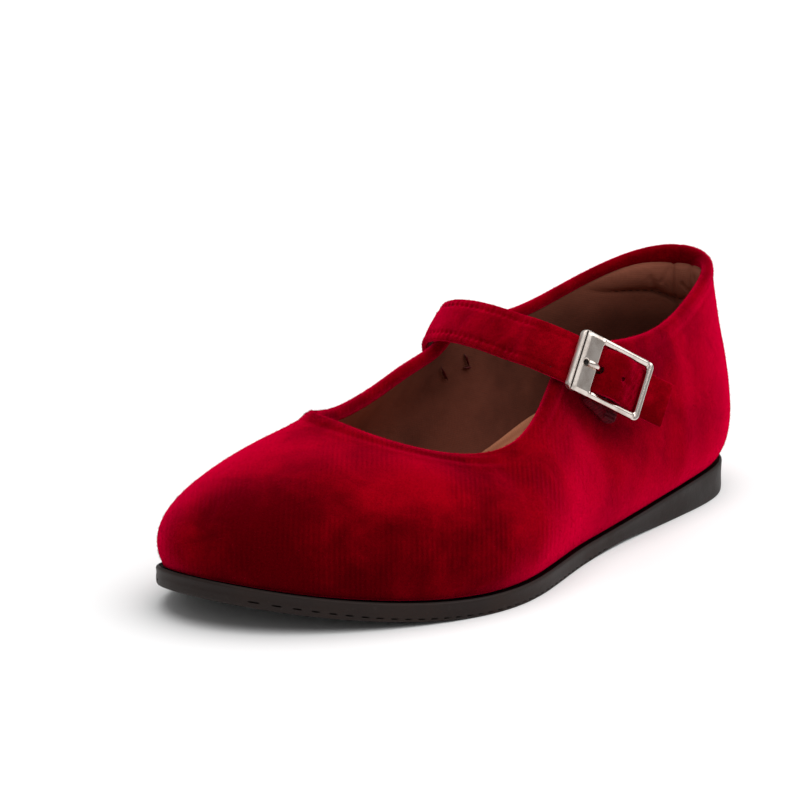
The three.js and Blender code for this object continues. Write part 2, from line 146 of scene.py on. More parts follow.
def sole_outline(turn, inset):
    s = section_at(turn)
    edge = np.stack([s["sole_x"], s["sole_y"], 0 * s["sole_x"]], axis=-1)
    return edge - outward_at(turn) * np.asarray(inset)[..., None]


# the frame's place of the back of the heel, from the outsole's own box
coarse = sole_outline(np.arange(100) / 100, 0)
low_corner = np.array(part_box("outsole")[0])
HOME = low_corner - coarse.min(axis=0) / 1000
HOME[2] = 0


def placed(points):
    """Points in the shoe's own millimetres, as metres in the frame."""
    return np.asarray(points, float).reshape(-1, 3) / 1000 + HOME


def grid_faces(rows, columns, close_rows=False, close_columns=True, first=0):
    """Quads between neighbouring rows of points, wrapped where asked."""
    r = np.arange(rows if close_rows else rows - 1)[:, None]
    c = np.arange(columns if close_columns else columns - 1)[None, :]
    r2, c2 = (r + 1) % rows, (c + 1) % columns
    quads = np.stack([r * columns + c, r * columns + c2, r2 * columns + c2, r2 * columns + c], axis=-1)
    return (quads.reshape(-1, 4) + first).tolist()


def once_round(count):
    """Angles evenly spaced round a full turn."""
    return np.arange(count) / count * 2 * math.pi


def capped_faces(rows, columns, first=0):
    """The quads of a tube and a face over each of its ends."""
    last = first + (rows - 1) * columns
    start_cap = list(range(first, first + columns))[::-1]
    return [*grid_faces(rows, columns, first=first), start_cap, list(range(last, last + columns))]


def turned_out(points, faces):
    """The faces, all flipped if the body they close is inside out."""
    corners = [(face[0], b, c) for face in faces for b, c in zip(face[1:-1], face[2:])]
    a, b, c = np.moveaxis(points[np.array(corners)], 1, 0)
    volume = np.sum(a * np.cross(b, c))
    return faces if volume > 0 else [face[::-1] for face in faces]


def linked(name, data):
    """A new object in the scene that shows that mesh, light or camera."""
    made = bpy.data.objects.new(name, data)
    bpy.context.scene.collection.objects.link(made)
    return made


def plain_body(name, points, faces):
    """A mesh object from points in shoe millimetres, with no finish."""
    points = np.asarray(points, float).reshape(-1, 3)
    mesh = bpy.data.meshes.new(name)
    mesh.from_pydata(placed(points).tolist(), [], turned_out(points, faces))
    return linked(name, mesh)


def piece(name, points, faces, material, slot, replaced=()):
    """A smooth body with its finish, riding on the shoe."""
    made = plain_body(name, points, faces)
    made.data.validate()
    made.data.shade_smooth()
    made.data.materials.append(material)
    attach(made, "root")
    for node in replaced:
        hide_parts(node)
    return made


class Value:
    """A shader socket on which sums, differences and products are written as Python."""

    def __init__(self, finish, socket):
        self.finish = finish
        self.socket = socket

    def maths(self, operation, *others):
        """This value, or it and others, through one Math node."""
        values = dict(enumerate((self, *others)))
        return self.finish.node("ShaderNodeMath", {"operation": operation}, values)

    def __add__(self, other):
        return self.maths("ADD", other)

    def __sub__(self, other):
        return self.maths("SUBTRACT", other)

    def __rsub__(self, other):
        return self.maths("MULTIPLY_ADD", -1.0, other)

    def __mul__(self, other):
        return self.maths("MULTIPLY", other)

    __radd__ = __add__
    __rmul__ = __mul__


class Finish:
    """The nodes of one material. Everything but plain maths is made by node()."""

    def __init__(self, name):
        self.material = bpy.data.materials.new(name)
        self.material.use_nodes = True
        self.material.node_tree.nodes.clear()

    def node(self, kind, settings=None, values=None, output=0):
        made = self.material.node_tree.nodes.new(kind)
        for key, value in (settings or {}).items():
            setattr(made, key, value)
        for key, value in (values or {}).items():
            if isinstance(value, Value):
                self.material.node_tree.links.new(value.socket, made.inputs[key])
            else:
                made.inputs[key].default_value = value
        return Value(self, made.outputs[output]) if made.outputs else None

    def place(self):
        """The point on the shoe, in metres."""
        return self.node("ShaderNodeTexCoord", output="Object")

    def axes(self):
        split = self.node("ShaderNodeSeparateXYZ", values={0: self.place()})
        return [Value(self, socket) for socket in split.socket.node.outputs]

    def noise(self, size, detail=3.0, roughness=0.5, warp=0.0, where=None):
        """Noise from 0 to 1 whose lumps are about that many millimetres across."""
        return self.node(
            "ShaderNodeTexNoise",
            values={
                "Vector": where or self.place(),
                "Scale": 1000 / size,
                "Detail": detail,
                "Roughness": roughness,
                "Distortion": warp,
            },
        )

    def waves(self, across, pitch, wander=0.0):
        """A wave from -1 to 1 that repeats every so many millimetres."""
        return (across * (2 * math.pi * 1000 / pitch) + wander).maths("SINE")

    def ramp(self, value, low, high):
        """0 at low, 1 at high, smooth between."""
        return self.node(
            "ShaderNodeMapRange",
            {"interpolation_type": "SMOOTHSTEP"},
            {"Value": value, "From Min": low, "From Max": high},
        )

    def blend(self, share, first, second):
        """A colour between two, by the share of the second."""
        settings = {"data_type": "RGBA"}
        return self.node("ShaderNodeMix", settings, {0: share, 6: first, 7: second}, output=2)

    def bump(self, height, depth, strength=1.0, over=None):
        """A normal from a height of 0 to 1 that stands for that depth in millimetres."""
        values = {"Height": height, "Distance": depth / 1000, "Strength": strength}
        if over:
            values["Normal"] = over
        return self.node("ShaderNodeBump", values=values)

    def surface(self, **values):
        """Closes the material with one Principled shader; names use _ for a space."""
        named = {key.replace("_", " "): value for key, value in values.items()}
        shader = self.node("ShaderNodeBsdfPrincipled", values=named)
        self.node("ShaderNodeOutputMaterial", values={"Surface": shader})
        return self.material


def colour(*swatch):
    """A linear colour from the red, green and blue that a swatch shows, 0 to 255."""
    linear = [((v / 255 + 0.055) / 1.055) ** 2.4 if v > 10 else v / 255 / 12.92 for v in swatch]
    return (*linear, 1.0)


def sole_rubber():
    f = Finish("sole_rubber")
    x = f.axes()[0]
    cloud = f.ramp(f.noise(22, 4, 0.55), 0.35, 0.7)
    dust = f.ramp(f.noise(1.6, 3, 0.6), 0.62, 0.8)
    base = f.blend(cloud, colour(27, 16, 13), colour(37, 25, 20))
    # painted shade: the rubber is darkened towards the heel
    base = f.blend(f.ramp(x, 0.03, -0.06) * 0.6, base, colour(15, 8, 6))
    base = f.blend(dust * 0.2, base, colour(74, 66, 62))
    grain = f.bump(f.noise(0.7, 4, 0.6), 0.06)
    grain = f.bump(f.noise(6, 2), 0.12, over=grain)
    rough = 0.5 + 0.16 * cloud
    return f.surface(Base_Color=base, Roughness=rough, Normal=grain, Specular_IOR_Level=0.2)


SOLE_AROUND, SOLE_ACROSS, TOP_ROUND = 1200, 14, 0.6
GROOVE_PITCH, GROOVE_WIDTH, GROOVE_DEPTH = 2.8, 0.95, 0.8
SLOT_LOW, SLOT_HIGH, SLOT_DEPTH = 0.2, 0.6, 1.0
FOREFOOT, HEEL_ZONE = (93, 198), (9, 46)


def groove(x):
    """1 inside a cross groove, 0 between."""
    off_middle = np.abs((x / GROOVE_PITCH) % 1 - 0.5) * GROOVE_PITCH
    return 1 - ease(GROOVE_WIDTH / 2 - 0.2, GROOVE_WIDTH / 2 + 0.2, off_middle)


def between(x, zone):
    return ((x > zone[0]) & (x < zone[1])).astype(float)


def tread_rings():
    turn = np.arange(SOLE_AROUND) / SOLE_AROUND
    edge_x = section_at(turn)["sole_x"]
    heel = ease(14, 0, edge_x)
    sharper = ease(196, 168, edge_x) * ease(60, 90, edge_x)
    corner_inset, corner_height = 0.4 + 2.2 * heel, 1.0 + 3.2 * heel - 0.8 * sharper
    rings = []
    for angle in np.linspace(0, math.pi / 2, 6):
        ring = sole_outline(turn, corner_inset * (1 - math.sin(angle)))
        ring[:, 2] = sole_bottom(ring[:, 0]) + corner_height * (1 - math.cos(angle))
        rings.append(ring)
    slot_here = groove(edge_x) * between(edge_x, FOREFOOT)
    for above in (0.1, SLOT_LOW, 0.26, 0.36, 0.46, 0.55, SLOT_HIGH, 0.9):
        inside = float(SLOT_LOW < above < SLOT_HIGH)
        ring = sole_outline(turn, SLOT_DEPTH * slot_here * inside)
        ring[:, 2] = sole_bottom(ring[:, 0]) + corner_height + above
        rings.append(ring)
    side_low = rings[-1][:, 2]
    side_high = sole_top(rings[-1][:, 0]) - TOP_ROUND
    for share in np.linspace(0.15, 1, 7):
        ring = sole_outline(turn, 0.1 * np.sin(math.pi * share))
        ring[:, 2] = side_low + (side_high - side_low) * share
        rings.append(ring)
    for angle in np.linspace(math.pi / 8, math.pi / 2, 4):
        ring = sole_outline(turn, TOP_ROUND * (1 - math.cos(angle)))
        ring[:, 2] = side_high + TOP_ROUND * math.sin(angle)
        rings.append(ring)
    return rings


def slab(rings, across, lower, upper):
    """A closed body between two faces ruled across the shoe. lower and upper give the heights."""
    around = len(rings[0])
    half = around // 2
    points = [np.concatenate(rings)]
    faces = grid_faces(len(rings), around)
    count = len(points[0])
    for ring_number, height, up in ((0, lower, False), (len(rings) - 1, upper, True)):
        start = ring_number * around
        left = rings[ring_number][1:half]
        right = rings[ring_number][:half:-1]
        share = np.arange(1, across)[None, :, None] / across
        inner = left[:, None] * (1 - share) + right[:, None] * share
        inner[..., 2] = height(inner, share[..., 0])
        first = count + np.arange((half - 1) * (across - 1)).reshape(half - 1, across - 1)
        rows = np.concatenate(
            [
                (start + np.arange(1, half))[:, None],
                first,
                (start + np.arange(around - 1, half, -1))[:, None],
            ],
            axis=1,
        )
        a, b, c, d = rows[:-1, :-1], rows[:-1, 1:], rows[1:, 1:], rows[1:, :-1]
        quads = np.stack([a, b, c, d] if up else [a, d, c, b], axis=-1)
        ends = []
        for k in range(across):
            ends.append([start, rows[0, k + 1], rows[0, k]])
            ends.append([start + half, rows[-1, k], rows[-1, k + 1]])
        faces += quads.reshape(-1, 4).tolist()
        faces += [[int(v) for v in (end if up else end[::-1])] for end in ends]
        points.append(inner.reshape(-1, 3))
        count += inner.shape[0] * inner.shape[1]
    return np.concatenate(points), faces


def tread_height(p, share):
    x = p[..., 0]
    within = ease(0, 0.1, share) * ease(1, 0.9, share)
    zones = between(x, FOREFOOT) + between(x, HEEL_ZONE)
    return sole_bottom(x) + GROOVE_DEPTH * groove(x) * zones * within


def above_sole(rise):
    """The height of a face that stands a set way over the sole's top."""
    return lambda p, share: sole_top(p[..., 0]) + rise


sole_points, sole_faces = slab(tread_rings(), SOLE_ACROSS, tread_height, above_sole(0))
rubber = sole_rubber()
piece("outsole_unit", sole_points, sole_faces, rubber, "sole_rubber", ["outsole"])


# ==== Insole ====
# A thin foam sock covered in tan cloth, glued on its board inside the upper. It is a little
# hollow along the middle, and its moulded edge stands up round the heel and the waist.

GAP, WALL, FEATHER, LEVEL_FOOT = 0.3, 2.4, 1.8, 0.12
SOCK_AROUND, SOCK_ACROSS, SOCK_WEAVE = 480, 24, 0.9
SOCK_THICKNESS, SOCK_EDGE, SOCK_HOLLOW, SOCK_LIP, SOCK_CLEAR = 4.2, 1.2, 0.8, 0.7, 0.45
# the height in mm over which the wall's share of its climb goes from 0 to 1, near its foot
WALL_CLIMB = 22
CUP_HEIGHT, CUP_WALL, CUP_FROM, CUP_TO = 7.0, 1.3, 22, 92


def outer_point(turn, up):
    """The upper's outer face: a curve from the sole's edge to the topline in each section."""
    turn, up = np.broadcast_arrays(np.asarray(turn, float), np.asarray(up, float))
    s = section_at(turn)
    out = outward_at(turn)
    edge = np.stack([s["sole_x"], s["sole_y"], 0 * up], axis=-1)
    foot = edge - out * FEATHER
    foot[..., 2] = sole_top(foot[..., 0]) + GAP
    top = np.stack([s["top_x"], s["top_y"], s["top_z"] - WALL / 2], axis=-1)
    swell = foot + out * s["flare"][..., None]
    swell[..., 2] += s["rise"]
    shoulder = top + out * s["run"][..., None]
    shoulder[..., 2] -= s["drop"]
    t = up[..., None]
    near, far = foot * (1 - t) ** 3, top * t**3
    return near + 3 * swell * t * (1 - t) ** 2 + 3 * shoulder * t**2 * (1 - t) + far


def outer_normal(turn, up):
    turn, up = np.broadcast_arrays(np.asarray(turn, float), np.asarray(up, float))
    around = outer_point(turn - 0.003, up) - outer_point(turn + 0.003, up)
    climb = outer_point(turn, np.minimum(1, up + 0.005)) - outer_point(turn, np.maximum(0, up - 0.005))
    normal = unit(np.cross(around, climb))
    normal[..., 2] *= ease(0, LEVEL_FOOT, up)
    return unit(normal)


def wall_point(turn, up, depth):
    """A point that far into the wall from its outer face."""
    return outer_point(turn, up) - outer_normal(turn, up) * np.asarray(depth)[..., None]


def sock_cloth():
    f = Finish("sock_cloth")
    x, y = f.axes()[:2]
    threads = 0.5 + 0.25 * (f.waves(x, SOCK_WEAVE) + f.waves(y, SOCK_WEAVE))
    cloud = f.ramp(f.noise(30, 3), 0.3, 0.7)
    base = f.blend(cloud, colour(170, 108, 80), colour(190, 128, 96))
    base = f.blend(threads * 0.18, base, colour(96, 64, 42))
    relief = f.bump(threads, 0.12, over=f.bump(f.noise(0.5, 3), 0.08))
    return f.surface(Base_Color=base, Roughness=0.85, Normal=relief, Specular_IOR_Level=0.1)


def cup_rise(x):
    """How far the sock's edge stands above its flat, round the heel and down to the waist."""
    return CUP_HEIGHT * (1 - ease(CUP_FROM, CUP_TO, x))


def sock_rings():
    turn = np.arange(SOCK_AROUND) / SOCK_AROUND
    out = outward_at(turn)
    level = wall_point(turn, 0, WALL)
    floor = sole_top(level[:, 0]) + GAP
    rim = SOCK_THICKNESS + cup_rise(level[:, 0])
    bottom = SOCK_THICKNESS - SOCK_EDGE
    climb = rim - SOCK_THICKNESS + 0.04
    heights = [(0, 0), (0, bottom)]
    heights += [(0, bottom + climb * s) for s in (0.25, 0.5, 0.75, 1)]
    for angle in np.linspace(math.pi / 8, math.pi, 8):
        heights.append((CUP_WALL / 2 * (1 - math.cos(angle)), rim - SOCK_EDGE * (1 - math.sin(angle))))
    for share in (0.3, 0.55, 0.75, 0.9, 1):
        height = rim - SOCK_EDGE + (bottom + SOCK_LIP - rim + SOCK_EDGE) * share
        heights.append((CUP_WALL + 2.6 * share**2, height))
    rings = []
    for inset, height in heights:
        z = floor + height
        high = np.clip((z - level[:, 2]) / WALL_CLIMB, 0, 0.9)
        ring = wall_point(turn, high, WALL + SOCK_CLEAR) - out * inset
        ring[:, 2] = z
        rings.append(ring)
    return rings


def sock_top(p, share):
    dish = SOCK_THICKNESS - SOCK_EDGE + SOCK_LIP
    dish = dish + (SOCK_EDGE - SOCK_LIP) * np.sin(math.pi * share) ** 0.5
    return sole_top(p[..., 0]) + GAP + dish - SOCK_HOLLOW * np.sin(math.pi * share)


sock_points, sock_faces = slab(sock_rings(), SOCK_ACROSS, above_sole(GAP), sock_top)
piece("insole_sock", sock_points, sock_faces, sock_cloth(), "lining", ["insole"])


# ==== Velvet upper ====
# Crimson velvet lasted over stiffeners and foam, closed by one seam down the back of the heel.
# Its edge is turned over the topline in a soft roll, widest inside at the back of the heel, and
# its foot is pulled under and cemented to the sole.

UPPER_AROUND, SIDE_ROWS = 620, 97
TURNED_IN, TURNED_AT_BACK = 1.4, 3.8
ROLL = 0.45
RIB_PITCH, RIBS_ACROSS = 1.15, (-0.607, 0.794)
BACK_MM_PER_TURN = 290

# soft troughs in the lasted shell: the two ends, half the width and the depth, or a ridge
# where the depth is less than 0
CREASES = {
    "dip under the outer throat": ((142, 30, 29), (126, 34, 27), 7.0, 0.5),
    "dip inside the throat corner": ((150, -22, 32), (138, -30, 30), 7.0, 0.5),
    "flex line, outer ball": ((140, 40, 12), (131, 30, 34), 4.5, 0.45),
    "flex line, inner ball": ((141, -39, 12), (128, -30, 34), 4.5, 0.5),
    "tuck below the buckle": ((92, 33, 22), (98, 31, 36), 5.0, 0.35),
    "counter edge, outer": ((52, 33, 12), (46, 27, 40), 5.0, -0.35),
    "counter edge, inner": ((52, -27, 12), (47, -26, 40), 5.0, -0.35),
    "toe puff edge": ((176, 33, 20), (170, 4, 38), 6.0, -0.35),
    "heel slump, outer": ((20, 30, 40), (8, 20, 46), 6.0, 0.4),
    "heel slump, inner": ((20, -26, 40), (8, -17, 46), 6.0, 0.4),
}


def from_segment(points, start, end):
    """Distance of each point from the straight line between two ends."""
    start, end = np.array(start, float), np.array(end, float)
    along = end - start
    share = np.clip((points - start) @ along / (along @ along), 0, 1)
    return np.linalg.norm(points - start - share[..., None] * along, axis=-1)


def back_distance(turn):
    """How far round from the back seam, in mm, less than 0 on the inner side."""
    return ((turn + 0.5) % 1 - 0.5) * BACK_MM_PER_TURN


def turned_in(turn):
    """How far the velvet reaches down the inside, most at the back of the heel."""
    return TURNED_IN + (TURNED_AT_BACK - TURNED_IN) * bell(back_distance(turn), 13)


def velvet_relief(points, turn, below):
    """How far the velvet stands out of the lasted form, in mm."""
    roll = ROLL * (1 - ease(0.8, 6.5, below))
    seam = 0.22 * bell(np.abs(back_distance(turn)) - 1.7, 1.0) - 0.4 * bell(back_distance(turn), 0.6)
    relief = roll + seam - 0.22 * bell(below - 3.0, 1.1)
    for start, end, width, depth in CREASES.values():
        relief = relief - depth * bell(from_segment(points, start, end), width)
    x, y, z = points[..., 0], points[..., 1], points[..., 2]
    soft = np.sin(x / 9 + 1.3 * np.sin(z / 11)) * np.sin(y / 8 + z / 13)
    low = ease(0, 6, z - sole_top(x))
    return relief + 0.12 * soft * low


def below_top(points):
    """Distance down to each row of a grid of points from its last row, the topline."""
    steps = np.linalg.norm(np.diff(points, axis=0), axis=-1)
    down = np.cumsum(steps[::-1], axis=0)[::-1]
    return np.concatenate([down, np.zeros((1, points.shape[1]))])


upper_turn = np.arange(UPPER_AROUND) / UPPER_AROUND
side_share = np.linspace(0, 1, SIDE_ROWS)
side_turns, side_ups = np.meshgrid(upper_turn, side_share)
side_points = outer_point(side_turns, side_ups)
side_below = below_top(side_points)


def share_below(distance):
    """The share of the side's climb at which each section is that far below the topline."""
    columns = side_below[::-1].T
    return np.array([np.interp(d, column, side_share[::-1]) for d, column in zip(distance, columns)])


def row_at(distance, depth):
    """A level of the wall a given distance below the topline and a given depth into it."""
    distance = np.broadcast_to(distance, upper_turn.shape)
    return wall_point(upper_turn, share_below(distance), depth)


def velvet_rows():
    relief = velvet_relief(side_points, side_turns, side_below)
    rows = list(side_points + outer_normal(side_turns, side_ups) * relief[..., None])
    middle = wall_point(upper_turn, 1, WALL / 2)
    normal = outer_normal(upper_turn, 1)
    climb = unit(side_points[-1] - side_points[-2])
    seam = 1 - 0.12 * bell(back_distance(upper_turn), 0.6)[:, None]
    for angle in np.linspace(0, math.pi, 12)[1:-1]:
        out = normal * math.cos(angle) + climb * math.sin(angle)
        rows.append(middle + out * (WALL / 2 + ROLL) * seam)
    hem = turned_in(upper_turn)
    for share in np.linspace(0, 1, 8):
        rows.append(row_at(hem * share, WALL + ROLL * math.sqrt(1 - share**4)))
    rows.append(row_at(hem + 0.25, WALL - 0.25))
    for share in np.linspace(0, 1, 24):
        rows.append(row_at(hem + 0.3 + share * (side_below[0] - hem - 0.3), WALL / 2))
    return np.array(rows)


# spots of painted shade and painted highlight on the velvet, with painted shadows round the buckle and
# under the strap's tail: centre, how far it reaches, and how strongly
PAINTED_LIGHT_AND_SHADE = (
    ((190, 4, 14), 38, -1.1),
    ((168, 30, 8), 26, -0.6),
    ((178, -12, 34), 22, 0.9),
    ((133, 38, 8), 18, 0.6),
    ((70, 34, 12), 26, 0.6),
    ((104, 34, 30), 15, 0.2),
    ((150, 22, 27), 24, 0.4),
    ((60, 26, 40), 16, -0.2),
    ((81, 37, 32), 8, -1.1),
    ((87, 33, 44), 10, -1.2),
    ((76, 40, 36), 7, -0.6),
)


def velvet(name, rib_from, dark, bright, nap_size):
    """Short crimson pile: stroked in patches, with spots of painted shade and highlight, faintly
    ribbed, and a painted sheen that brightens the colour where seen edge on.
    """
    f = Finish(name)
    x, y = f.axes()[:2]
    patches = f.noise(nap_size, 4, 0.55, 0.5)
    strokes = f.noise(nap_size * 0.3, 5, 0.62, 0.4)
    nap_and_painted_light = patches * 0.6 + strokes * 0.4
    # add the spots of painted shade and painted highlight to the nap's patches
    for centre, reach, strength in PAINTED_LIGHT_AND_SHADE:
        where = {0: f.place(), 1: tuple(placed(centre)[0])}
        away = f.node("ShaderNodeVectorMath", {"operation": "DISTANCE"}, where, output=1)
        nap_and_painted_light = nap_and_painted_light + (1 - f.ramp(away, 0, reach / 1000)) * (0.2 * strength)
    nap_and_painted_light = f.ramp(nap_and_painted_light, 0.32, 0.68)
    across = x * RIBS_ACROSS[0] + y * RIBS_ACROSS[1]
    ribs = 0.5 + 0.5 * f.waves(across, RIB_PITCH, f.noise(12, 2) * 3)
    ribbed = ribs * f.ramp(x, rib_from, rib_from + 0.025) * f.ramp(f.noise(14, 3), 0.34, 0.66)
    fleck = f.ramp(f.noise(0.5, 4, 0.75), 0.38, 0.7)
    base = f.blend(nap_and_painted_light, dark, bright)
    base = f.blend(ribbed * 0.28, base, colour(36, 0, 1))
    # painted sheen: the colour is blended towards bright crimson-pink where the velvet is seen edge on
    seen_edge_on = f.node("ShaderNodeLayerWeight", values={"Blend": 0.5}, output=1)
    edge = f.ramp(seen_edge_on, 0.36, 0.96) * (0.62 + 0.3 * nap_and_painted_light)
    base = f.blend(edge, base, colour(214, 0, 48))
    base = f.blend(fleck * 0.3, base, colour(30, 0, 1))
    pile = f.bump(f.noise(0.35, 3, 0.65), 0.3, 0.7)
    pile = f.bump(ribbed, 0.12, 0.6, over=pile)
    pile = f.bump(patches + 0.5 * strokes, 2.2, 0.5, over=pile)
    return f.surface(
        Base_Color=base,
        Roughness=0.9,
        Normal=pile,
        Specular_IOR_Level=0.0,
        Sheen_Weight=1.0,
        Sheen_Roughness=0.34,
        Sheen_Tint=(0.75, 0.0, 0.05, 1.0),
    )


def fuzz(name, rows, fibres, length, seed):
    """Loose pile: short thin spikes scattered over a grid of points that closes round."""
    chance = np.random.default_rng(seed)
    up = np.gradient(rows, axis=0)
    round_it = np.roll(rows, -1, axis=1) - np.roll(rows, 1, axis=1)
    facing = unit(np.cross(up, round_it))
    r, c = chance.integers(1, rows.shape[0] - 1, fibres), chance.integers(0, rows.shape[1], fibres)
    root = rows[r, c] + up[r, c] * chance.uniform(-0.5, 0.5, (fibres, 1))
    root = root + round_it[r, c] * chance.uniform(-0.25, 0.25, (fibres, 1))
    lean = unit(facing[r, c] + chance.normal(0, 0.4, (fibres, 3)))
    side = unit(np.cross(lean, facing[r, c] + 0.01))
    other = np.cross(lean, side)
    tip = root + lean * length * chance.uniform(0.4, 1, (fibres, 1))
    foot = root - facing[r, c] * 0.1
    corners = [foot + 0.06 * (side * math.cos(a) + other * math.sin(a)) for a in (0, 2.1, 4.2)]
    points = np.stack([*corners, tip], axis=1).reshape(-1, 3)
    first = 4 * np.arange(fibres)[:, None, None]
    faces = (first + np.array([[0, 1, 3], [1, 2, 3], [2, 0, 3], [0, 2, 1]])).reshape(-1, 3)
    piece(name, points, faces.tolist(), loose_pile, "velvet")


shell_rows = velvet_rows()
shell_faces = grid_faces(len(shell_rows), UPPER_AROUND, close_rows=True)
crimson = velvet("crimson_velvet", -0.006, colour(78, 0, 4), colour(144, 0, 14), 34)
piece("velvet_shell", shell_rows, shell_faces, crimson, "velvet", ["upper"])
loose_pile = velvet("loose_pile", -0.012, colour(96, 0, 6), colour(176, 0, 26), 34)
fuzz("velvet_fuzz", shell_rows[2:SIDE_ROWS], 26000, 0.5, seed=1)
fuzz("topline_fuzz", shell_rows[SIDE_ROWS - 5 : SIDE_ROWS + 16], 12000, 0.5, seed=2)


# ==== Lining ====
# Brown woven cloth over thin foam, cut in two quarters and a heel strip. A padded crescent is
# stitched in under the collar, and its lower seam sinks towards the back of the heel.

LINING_TOP = turned_in(upper_turn) - 0.9
LINING_WEAVE = 0.55
STRIP_SEAMS = (-1.8, 5.8)
PAD_LOWEST, PAD_SIDES, PAD_ENDS, PAD_SWELL = 14.6, 11.2, 29.0, 1.9

# soft folds in the padding: both ends as mm round from the back seam and mm below the topline,
# then half the width and the depth
LINING_FOLDS = (
    ((-8.0, 11.4), (-1.8, 15.2), 0.8, 0.7),
    ((-9.3, 7.0), (-7.4, 11.4), 0.9, 0.35),
    ((2.4, 9.2), (4.4, 11.2), 0.7, 0.6),
    ((-3.2, 5.0), (-5.6, 8.4), 0.8, 0.3),
    ((9.0, 6.0), (12.5, 10.5), 1.0, 0.4),
    ((16.0, 9.0), (24.0, 6.5), 1.2, 0.3),
)


def lining_cloth():
    f = Finish("lining_cloth")
    x, y, z = f.axes()
    threads = 0.5 + 0.25 * (f.waves(x + y * 0.6, LINING_WEAVE) + f.waves(z, LINING_WEAVE))
    cloud = f.ramp(f.noise(18, 4), 0.3, 0.7)
    base = f.blend(cloud, colour(84, 45, 34), colour(108, 60, 46))
    # painted shade: the lining is darkened low down at the back of the heel
    shade_deep_in_heel = f.ramp(x, -0.055, -0.09) * (1 - f.ramp(z, 0.04, 0.052))
    base = f.blend(shade_deep_in_heel * 0.6, base, colour(56, 27, 20))
    # painted light: the lining is lightened high up at the front of the opening
    light_in_front = f.ramp(x, -0.01, 0.03) * f.ramp(z, 0.022, 0.034)
    base = f.blend(light_in_front * 0.8, base, colour(146, 84, 66))
    # painted light: the lining is lightened towards the collar
    base = f.blend(f.ramp(z, 0.042, 0.058) * 0.75, base, colour(146, 86, 67))
    base = f.blend(threads * 0.1, base, colour(60, 30, 22))
    relief = f.bump(threads, 0.05, over=f.bump(f.noise(4, 3), 0.25))
    return f.surface(Base_Color=base, Roughness=0.9, Normal=relief, Specular_IOR_Level=0.1)


def pad_seam(distance_round):
    """How far below the topline the pad's seam runs."""
    lowest = PAD_SIDES + (PAD_LOWEST - PAD_SIDES) * bell(distance_round, 7)
    return lowest * (1 - np.abs(distance_round / PAD_ENDS) ** 3)


def lining_swell(below):
    """How far the lining stands in from the wall, in mm."""
    round_back = np.broadcast_to(back_distance(upper_turn), below.shape)
    seam = pad_seam(round_back)
    share = np.clip((below - LINING_TOP) / np.maximum(seam - LINING_TOP, 0.5), 0, 1)
    there = ease(LINING_TOP, LINING_TOP + 4, seam) * (1 - ease(10, PAD_ENDS - 1, np.abs(round_back)))
    spot = np.stack([round_back, below], axis=-1)
    swell = PAD_SWELL * np.sin(math.pi * share) ** 0.7 * there
    swell = swell - 0.7 * bell(below - seam, 0.8) * there
    for at in STRIP_SEAMS:
        swell = swell - 0.7 * bell(round_back - at, 0.7)
    for start, end, width, depth in LINING_FOLDS:
        swell = swell - depth * bell(from_segment(spot, start, end), width)
    middle = sum(STRIP_SEAMS) / 2
    swell = swell + 0.3 * bell(round_back - middle, 3)
    tucked = 0.6 * (1 - ease(LINING_TOP, LINING_TOP + 1.9, below))
    return swell * ease(0, 6, side_below[0] - below) - tucked


def lining_rows():
    rows = []
    deepest = side_below[0]
    shares = np.concatenate([np.linspace(0, 0.45, 60), np.linspace(0.45, 1, 30)[1:]])
    for share in shares:
        below = LINING_TOP + share * (deepest - LINING_TOP)
        rows.append(row_at(below, WALL + lining_swell(below)))
    for share in shares[::-4]:
        below = LINING_TOP + share * (deepest - LINING_TOP)
        rows.append(row_at(below, WALL / 2 + 0.15))
    return np.array(rows)


brown = lining_cloth()
cloth_rows = lining_rows()
cloth_faces = grid_faces(len(cloth_rows), UPPER_AROUND, close_rows=True)
piece("lining", cloth_rows, cloth_faces, brown, "lining")


# ==== Stitching ====
# Twisted thread laid as single stitches, each sunk in the cloth at both ends: a brown row along
# the pad's seam here, and red ones on the strap and inside, in their own sections.

STITCH_RINGS, STITCH_SIDES = 7, 6
PAD_PITCH, PAD_STITCH, PAD_THREAD = 2.2, 1.6, 0.11


def thread(name, tint):
    f = Finish(name)
    twist = f.noise(0.4, 2)
    base = f.blend(twist, tint, tuple(0.5 * v for v in tint[:3]) + (1.0,))
    return f.surface(Base_Color=base, Roughness=0.6, Normal=f.bump(twist, 0.1), Specular_IOR_Level=0.2)


def stitch(start, end, out, radius, rise=0.5):
    """One stitch: a fat bead of thread that sinks into the cloth at both ends."""
    along = end - start
    side = unit(np.cross(along, out))
    points = []
    for s in np.linspace(-1, 1, STITCH_RINGS):
        size = radius * max(0.18, math.sqrt(1 - 0.96 * s * s))
        centre = (start + end) / 2 + along * s / 2 + out * radius * rise * (1 - 1.9 * s * s)
        for angle in once_round(STITCH_SIDES):
            points.append(centre + (side * math.cos(angle) + out * math.sin(angle)) * size)
    return np.array(points)


def stitched(name, stitches, material, slot):
    """All the stitches of a seam as one piece."""
    each = STITCH_RINGS * STITCH_SIDES
    faces = []
    for k in range(len(stitches)):
        faces += capped_faces(STITCH_RINGS, STITCH_SIDES, k * each)
    piece(name, np.concatenate(stitches), faces, material, slot)


def run_along(path):
    """The length of a line of points up to each point."""
    return np.concatenate([[0], np.cumsum(np.linalg.norm(np.diff(path, axis=0), axis=-1))])


